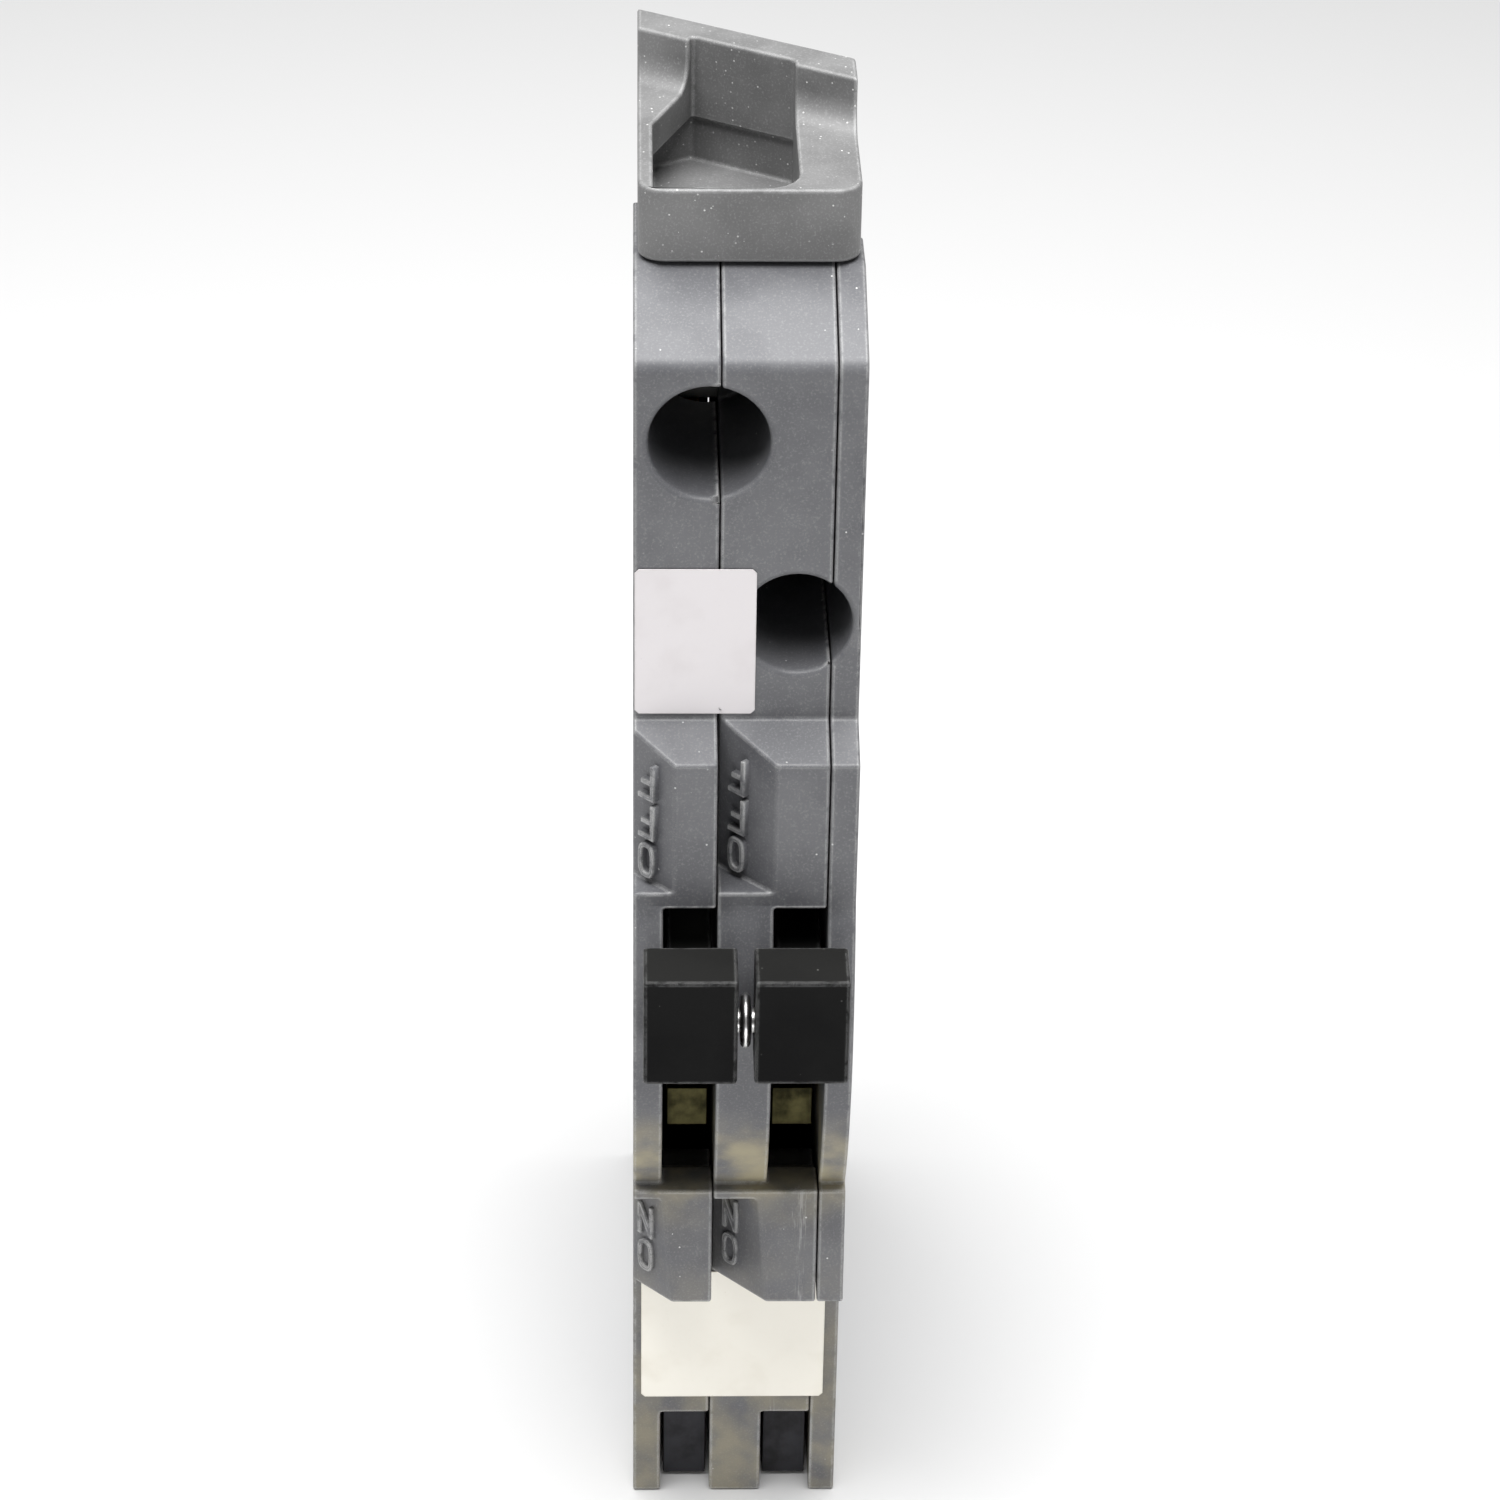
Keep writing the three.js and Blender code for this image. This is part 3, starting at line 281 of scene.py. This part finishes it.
# %% Scratches
scratch, scratch_in, scratch_out = new_group(
    "fine_scratches",
    {"Scale": 300.0, "Lean": 0.5},
    {"Mask": "NodeSocketFloat"},
)
turn = add(scratch, "ShaderNodeCombineXYZ", {"X": 0.0, "Y": scratch_in.outputs["Lean"], "Z": 0.3})
stretched = add(scratch, "ShaderNodeMapping", {
    "Vector": object_place(scratch), "Rotation": turn.outputs[0], "Scale": (1.0, 1.0, 0.035)})
lines = noise(scratch, stretched.outputs[0], scratch_in.outputs["Scale"], 6.0, 0.8)
scratch.links.new(ramp(scratch, lines, 0.66, 0.72), scratch_out.inputs["Mask"])
print("group:", scratch.name, "nodes:", len(scratch.nodes))


# %% [markdown]
# ## One recipe for moulded plastic
#
# Moulded plastic is never one flat colour. Its skin has a fine grain from the mould, slow cloudy
# changes of tone from the flow of the melt, a lighter line where edges have rubbed (on the black
# handles also a painted edge highlight), and specks of dust in between. The three plastics here
# differ only in colour, gloss and how much of each effect they have, so one function mixes them.
# Two effects are optional: the case has lighter, warm bands at its front, and the handles have
# painted top light on their upper faces, in a dusty tone.

# %% The plastics
def use(tree, group, **values):
    """Places a shader group in a material with its own values."""
    node = tree.nodes.new("ShaderNodeGroup")
    node.node_tree = group
    for name, value in values.items():
        node.inputs[name.replace("_", " ")].default_value = value
    return node


def mix(tree, amount, below, above):
    """One colour laid over another, as far as a mask says."""
    node = tree.nodes.new("ShaderNodeMix")
    node.data_type = "RGBA"
    for socket, value in ((node.inputs[0], amount), (node.inputs[6], below), (node.inputs[7], above)):
        if isinstance(value, bpy.types.NodeSocket):
            tree.links.new(value, socket)
        else:
            socket.default_value = value
    return node.outputs[2]


def grey(value, tint=(1.0, 1.0, 1.0)):
    """A grey with a slight tint, as a colour."""
    return (value * tint[0], value * tint[1], value * tint[2], 1.0)


def new_material(name):
    """An empty material with its shader, and the tree to build in."""
    material = bpy.data.materials.new(name)
    material.use_nodes = True
    return material, material.node_tree, material.node_tree.nodes["Principled BSDF"]


def plastic(name, dark, light, worn_and_highlight, roughness, grain_height=0.00002, grain_tone=0.35, wear_and_highlight_amount=0.6,
            specks=0.07, dust_and_top_light_colour=(0.62, 0.62, 0.61, 1.0), tone_bands=None, gloss=0.35, painted_top_light=0.0):
    """A moulded plastic: two tones, edges lightened by use (and on the black handles by a painted
    highlight), dust, scratches, and if asked warm bands and painted top light.

    Painted top light lightens the faces that look up towards the dust colour.
    """
    material, tree, shader = new_material(name)
    skin = use(tree, grain)
    colour = mix(tree, ramp(tree, skin.outputs["Clouds"], 0.35, 0.65), dark, light)
    peak = ramp(tree, skin.outputs["Grain"], 0.50, 0.72)
    colour = mix(tree, math_of(tree, "MULTIPLY", peak, grain_tone), colour, worn_and_highlight)
    if tone_bands is not None:
        colour = tone_bands(tree, colour)
    scratched = use(tree, scratch)
    colour = mix(tree, math_of(tree, "MULTIPLY", scratched.outputs["Mask"], 0.25), colour, worn_and_highlight)
    # Lighter edges: rubbed wear, and on the black handles also a painted edge highlight.
    edges = use(tree, wear_and_highlight, Amount=wear_and_highlight_amount)
    colour = mix(tree, edges.outputs["Mask"], colour, worn_and_highlight)
    motes = use(tree, dust, Cover=specks)
    colour = mix(tree, motes.outputs["Mask"], colour, dust_and_top_light_colour)
    # Painted top light: faces that look up are lightened towards the dust colour, standing in for light
    # from above.
    if painted_top_light > 0:
        facing = add(tree, "ShaderNodeTexCoord").outputs["Normal"]
        upward_facing = add(tree, "ShaderNodeSeparateXYZ", {0: facing})
        top_light_mask = math_of(tree, "MULTIPLY", ramp(tree, upward_facing.outputs["Z"], 0.5, 0.95), painted_top_light)
        colour = mix(tree, top_light_mask, colour, dust_and_top_light_colour)
    tree.links.new(colour, shader.inputs["Base Color"])
    shader.inputs["Specular IOR Level"].default_value = gloss
    rough = math_of(tree, "MULTIPLY_ADD", skin.outputs["Clouds"], 0.12, roughness - 0.06)
    tree.links.new(math_of(tree, "ADD", rough, math_of(tree, "MULTIPLY", motes.outputs["Mask"], 0.3)),
                   shader.inputs["Roughness"])
    bump = add(tree, "ShaderNodeBump",
               {"Height": skin.outputs["Height"], "Strength": 0.35, "Distance": grain_height})
    tree.links.new(bump.outputs["Normal"], shader.inputs["Normal"])
    return material


def band(tree, centre, half_width):
    """A soft band across the piece at one height above the line end."""
    height = add(tree, "ShaderNodeSeparateXYZ", {0: object_place(tree)}).outputs["Z"]
    away = math_of(tree, "ABSOLUTE", math_of(tree, "SUBTRACT", height, centre), 0.0)
    return ramp(tree, away, half_width, half_width * 0.15)


# Depths, in metres along Y, where the warm bands are full and where they have faded out.
WARM_FULL = -0.021
WARM_END = -0.012
WARM_BAND_COLOUR = (0.34, 0.30, 0.19, 1.0)
# Height and half width of each warm band, in metres, and its strength.
CROWN_BAND = (0.0425, 0.0085, 0.85)
END_BAND = (0.0, 0.040, 0.50)


def warm_front_bands(tree, colour):
    """A lighter, warm band low on the crown, and a faint warm tone towards the line end, both at the
    front.
    """
    cloudy = ramp(tree, noise(tree, object_place(tree), 260.0, 3.0), 0.25, 0.75)
    crown_band = math_of(tree, "MULTIPLY", band(tree, *CROWN_BAND[:2]), CROWN_BAND[2])
    end_band = math_of(tree, "MULTIPLY", band(tree, *END_BAND[:2]), END_BAND[2])
    warm = math_of(tree, "MULTIPLY", math_of(tree, "ADD", crown_band, end_band), cloudy)
    behind = add(tree, "ShaderNodeSeparateXYZ", {0: object_place(tree)}).outputs["Y"]
    warm = math_of(tree, "MULTIPLY", warm, ramp(tree, behind, WARM_END, WARM_FULL))
    return mix(tree, warm, colour, WARM_BAND_COLOUR)


case_plastic = plastic(
    "grey_case_plastic", grey(0.100, (0.97, 0.98, 1.06)), grey(0.128, (0.98, 0.99, 1.05)),
    grey(0.56, (1.0, 1.0, 0.98)), roughness=0.42, grain_tone=0.13, wear_and_highlight_amount=0.65, tone_bands=warm_front_bands)
foot_plastic = plastic(
    "grey_foot_plastic", grey(0.132), grey(0.172), grey(0.50), roughness=0.5, grain_tone=0.22,
    specks=0.6, gloss=0.5)
# The handles' light edge tone, grey(0.34), is a painted edge highlight as well as wear.
# The handles' upward faces also get painted top light, in the dust colour.
handle_plastic = plastic(
    "black_handle_plastic", grey(0.002, (1.0, 1.0, 1.08)), grey(0.004), grey(0.34), roughness=0.36,
    grain_tone=0.004, wear_and_highlight_amount=0.5, specks=0.06, dust_and_top_light_colour=(0.22, 0.22, 0.21, 1.0), gloss=0.05,
    painted_top_light=0.05)
print("plastics:", case_plastic.name, foot_plastic.name, handle_plastic.name)


# %% [markdown]
# ## Metals
#
# Inside, current runs through copper, brass and tinned contacts, and springs and levers are steel.
# A metal takes its look from its reflections, so the base colour stays simple and the roughness
# carries the story: drawn lines along the strip, duller patches where it has tarnished, and edges
# polished by the press tool.

# %% The metals
def metal(name, clean, tarnished, roughness, spread=0.18, lines=600.0, tarnish=0.5):
    """A metal with drawn lines, tarnish in patches and polished edges."""
    material, tree, shader = new_material(name)
    place = object_place(tree)
    patches = ramp(tree, noise(tree, place, 320.0, 5.0, 0.6), 0.35, 0.70)
    edges = use(tree, wear_and_highlight, Radius=0.0002, Amount=0.7)
    covered = math_of(tree, "MULTIPLY", patches, tarnish)
    covered = math_of(tree, "SUBTRACT", covered, edges.outputs["Mask"], clamp=True)
    tree.links.new(mix(tree, covered, clean, tarnished), shader.inputs["Base Color"])
    shader.inputs["Metallic"].default_value = 1.0
    drawn = add(tree, "ShaderNodeMapping", {"Vector": place, "Scale": (1.0, 1.0, 0.04)})
    fine = noise(tree, drawn.outputs[0], lines * 6.0, 3.0, 0.6)
    dull = math_of(tree, "MULTIPLY", math_of(tree, "ADD", fine, patches), spread)
    tree.links.new(math_of(tree, "ADD", dull, roughness - spread / 2), shader.inputs["Roughness"])
    bump = add(tree, "ShaderNodeBump", {"Height": fine, "Strength": 0.15, "Distance": 0.00001})
    tree.links.new(bump.outputs["Normal"], shader.inputs["Normal"])
    return material


zinc_steel = metal("zinc_plated_steel", (0.62, 0.62, 0.64, 1), (0.30, 0.29, 0.27, 1), 0.34)
bright_steel = metal(
    "bright_turned_steel", (0.82, 0.82, 0.81, 1), (0.55, 0.54, 0.50, 1), 0.26, 0.10, tarnish=0.25)
dark_steel = metal("blackened_steel", (0.045, 0.045, 0.05, 1), (0.02, 0.018, 0.016, 1), 0.45)
copper = metal("bare_copper", (0.70, 0.36, 0.22, 1), (0.25, 0.13, 0.08, 1), 0.32)
brass = metal("dull_brass", (0.10, 0.09, 0.04, 1), (0.022, 0.021, 0.012, 1), 0.50, tarnish=0.9)
tin = metal("tin_plate", (0.72, 0.71, 0.69, 1), (0.42, 0.41, 0.38, 1), 0.30)
print("metals:", [made.name for made in (zinc_steel, bright_steel, dark_steel, copper, brass, tin)])


# %% [markdown]
# ## Paper labels
#
# Each label is coated paper stuck to the plastic. It is almost flat, so its finish has to say
# paper: a faint fibre in the colour and the surface, a slightly soiled tone in places, and a
# darker, fluffed cut edge.

# %% The papers
def paper(name, clean, soiled):
    """Coated label paper: faint fibres, soft soiling and a rubbed edge."""
    material, tree, shader = new_material(name)
    place = object_place(tree)
    fibres = noise(tree, place, 2600.0, 5.0, 0.75)
    smudge = ramp(tree, noise(tree, place, 220.0, 3.0), 0.45, 0.85)
    colour = mix(tree, math_of(tree, "MULTIPLY", smudge, 0.35), clean, soiled)
    colour = mix(tree, math_of(tree, "MULTIPLY", ramp(tree, fibres, 0.55, 0.75), 0.10), colour, soiled)
    edges = use(tree, wear_and_highlight, Radius=0.00025, Patch_Scale=1500.0, Amount=0.45)
    colour = mix(tree, edges.outputs["Mask"], colour, soiled)
    motes = use(tree, dust, Scale=900.0, Size=0.10, Cover=0.10)
    colour = mix(tree, math_of(tree, "MULTIPLY", motes.outputs["Mask"], 0.5), colour, soiled)
    tree.links.new(colour, shader.inputs["Base Color"])
    tree.links.new(math_of(tree, "MULTIPLY_ADD", fibres, 0.15, 0.45), shader.inputs["Roughness"])
    bump = add(tree, "ShaderNodeBump", {"Height": fibres, "Strength": 0.2, "Distance": 0.00001})
    tree.links.new(bump.outputs["Normal"], shader.inputs["Normal"])
    return material


white_paper = paper("white_label_paper", (0.70, 0.67, 0.68, 1), (0.52, 0.48, 0.48, 1))
cream_paper = paper("cream_label_paper", (0.84, 0.81, 0.73, 1), (0.60, 0.55, 0.44, 1))
print("papers:", white_paper.name, cream_paper.name)


# %% [markdown]
# ## Every part gets its finish
#
# The record names a material slot for each part, so the slot picks the finish. A CAD part keeps
# its mesh, and only the material in its object's slot changes.

# %% Finishes on the parts
finishes = {
    "case": case_plastic, "foot": foot_plastic, "handle": handle_plastic, "steel": zinc_steel,
    "bright_steel": bright_steel, "dark_steel": dark_steel, "copper": copper, "brass": brass,
    "tinned": tin, "white_label": white_paper, "cream_label": cream_paper,
}
slot_of = {part["node"]: part["material_slot"] for part in frame["record"]["subparts"]}
for name, part in nodes.items():
    part.material_slots[0].material = finishes[slot_of[name]]
print("slots in use:", sorted(set(slot_of.values())))


# %% [markdown]
# ## Softened edges
#
# No moulded or stamped edge is razor sharp, and the thin bright line that an edge catches is what
# makes a render look like a real thing. The parts arrive as flat facets, so the modifiers first
# join the facets that lie in one plane, then round every edge that turns sharply, and last shade
# the surface smoothly, with the large flats keeping their own direction.

# %% Edge softening
def shade_smooth_group():
    """A geometry node group that shades every face smoothly, ready for weighing the normals."""
    group = bpy.data.node_groups.new("shade_smooth", "GeometryNodeTree")
    group.interface.new_socket("Geometry", in_out="INPUT", socket_type="NodeSocketGeometry")
    group.interface.new_socket("Geometry", in_out="OUTPUT", socket_type="NodeSocketGeometry")
    start = group.nodes.new("NodeGroupInput")
    smooth = group.nodes.new("GeometryNodeSetShadeSmooth")
    finish = group.nodes.new("NodeGroupOutput")
    group.links.new(start.outputs[0], smooth.inputs["Geometry"])
    group.links.new(smooth.outputs[0], finish.inputs[0])
    return group


shade_smooth = shade_smooth_group()


SAME_POINT = 0.000002
SAME_PLANE = math.radians(0.6)
SHARP_EDGE = math.radians(30)


def soften(part, width):
    """Rounds the sharp edges of a part by a width in millimetres."""
    weld = part.modifiers.new("join_points", "WELD")
    weld.merge_threshold = SAME_POINT
    flat = part.modifiers.new("join_flats", "DECIMATE")
    flat.decimate_type = "DISSOLVE"
    flat.angle_limit = SAME_PLANE
    bevel = part.modifiers.new("round_edges", "BEVEL")
    bevel.width = width * MM
    bevel.segments = 2
    bevel.limit_method = "ANGLE"
    bevel.angle_limit = SHARP_EDGE
    bevel.use_clamp_overlap = False
    bevel.miter_outer = "MITER_ARC"
    smooth = part.modifiers.new("shade_smooth", "NODES")
    smooth.node_group = shade_smooth
    weigh = part.modifiers.new("keep_flats_flat", "WEIGHTED_NORMAL")
    weigh.keep_sharp = False
    weigh.weight = 100


EDGE_WIDTH = {"case": 0.22, "foot": 0.25, "handle": 0.28, "white_label": 0.03, "cream_label": 0.03}
for name, part in nodes.items():
    soften(part, EDGE_WIDTH.get(slot_of[name], 0.10))
print("softened:", len(nodes))


# %% [markdown]
# ## Raised words in the recesses
#
# The mould has OFF and ON cut into the slanted floors beside the handles, so the letters stand
# proud of the plastic in the same grey. They are stacked one above another, and are upside down
# while the breaker stands on its line end. Each letter is one flat outline. Blender's curves can
# fill an outline, give it a height and round its rim in one go, and a second loop inside the first
# makes the hole of the O, so the letters are drawn as curves and then turned into meshes.

# %% Letters
LETTER_HEIGHT = 3.4
LETTER_WIDTH = 1.85
LETTER_GAP = 0.5
LETTER_RISE = 0.60
STROKE = 0.42
ROUND = 0.07


def ring_of(width, height, steps=28, power=3.0):
    """A rounded-off rectangle about the origin, as a superellipse."""
    points = []
    for step in range(steps):
        angle = 2 * math.pi * step / steps
        cosine, sine = math.cos(angle), math.sin(angle)
        points.append((math.copysign(abs(cosine) ** (2 / power), cosine) * width / 2,
                       math.copysign(abs(sine) ** (2 / power), sine) * height / 2))
    return points


def letter_loops(letter):
    """The outlines of one letter, in millimetres about its middle."""
    w, h, t = LETTER_WIDTH / 2, LETTER_HEIGHT / 2, STROKE
    if letter == "O":
        return [ring_of(2 * w, 2 * h), ring_of(2 * w - 2 * t, 2 * h - 2 * t)]
    if letter == "F":
        bar = w * 0.6
        return [[(-w, -h), (t - w, -h), (t - w, -t / 2), (bar, -t / 2), (bar, t / 2), (t - w, t / 2),
                 (t - w, h - t), (w, h - t), (w, h), (-w, h)]]
    slant = 1.5 * t
    return [[(-w, -h), (t - w, -h), (t - w, h - 2 * slant), (w - t, -h), (w, -h), (w, h), (w - t, h),
             (w - t, 2 * slant - h), (t - w, h), (-w, h)]]


def letter_piece(name, letter, frame_matrix):
    """One raised letter as a mesh, standing on a slanted floor."""
    curve = bpy.data.curves.new(name, "CURVE")
    curve.dimensions = "2D"
    curve.fill_mode = "BOTH"
    curve.extrude = LETTER_RISE * MM
    curve.bevel_depth = ROUND * MM
    curve.bevel_resolution = 2
    curve.offset = -ROUND * MM
    for loop in letter_loops(letter):
        line = curve.splines.new("POLY")
        line.points.add(len(loop) - 1)
        for point, (x, y) in zip(line.points, loop):
            point.co = (x * MM, y * MM, 0, 1)
        line.use_cyclic_u = True
    drawn = bpy.data.objects.new(name + "_curve", curve)
    bpy.context.scene.collection.objects.link(drawn)
    bpy.context.view_layer.update()
    mesh = bpy.data.meshes.new_from_object(drawn)
    bpy.data.objects.remove(drawn)
    mesh.transform(frame_matrix)
    mesh.materials.clear()
    mesh.materials.append(case_plastic)
    piece = bpy.data.objects.new(name, mesh)
    bpy.context.scene.collection.objects.link(piece)
    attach(piece, "case")
    return piece


# %% The two words, on both poles
left_side = cad_low.x
seam_side = (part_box("left_case")[1].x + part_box("centre_case")[0].x) / 2
SLANT = math.sqrt(0.5)
across = Vector((-SLANT, SLANT, 0))
upward = Vector((0, 0, -1))
outward = Vector((-SLANT, -SLANT, 0))
turned_letter = Matrix((across, upward, outward)).transposed().to_4x4()

OFF_FACE = -32.6
ON_FACE = -31.05
WORDS = (
    ("off", "OFF", OFF_FACE, 72.6),
    ("on", "ON", ON_FACE, 29.2),
)
POLE_RECESSES = (("left", left_side, 3.5, 1.5), ("centre", seam_side, 4.9, 2.0))

letters = []
for pole, side, ridge, middle_x in POLE_RECESSES:
    for word, text, face, low in WORDS:
        for index, letter in enumerate(text):
            height = low + LETTER_HEIGHT / 2 + index * (LETTER_HEIGHT + LETTER_GAP)
            place = Vector((side / MM + middle_x, face + ridge - middle_x, height)) * MM
            name = f"{pole}_{word}_letter_{index + 1}"
            letters.append(letter_piece(name, letter, Matrix.Translation(place) @ turned_letter))
print("letters:", len(letters), "faces on the first:", len(letters[0].data.polygons))
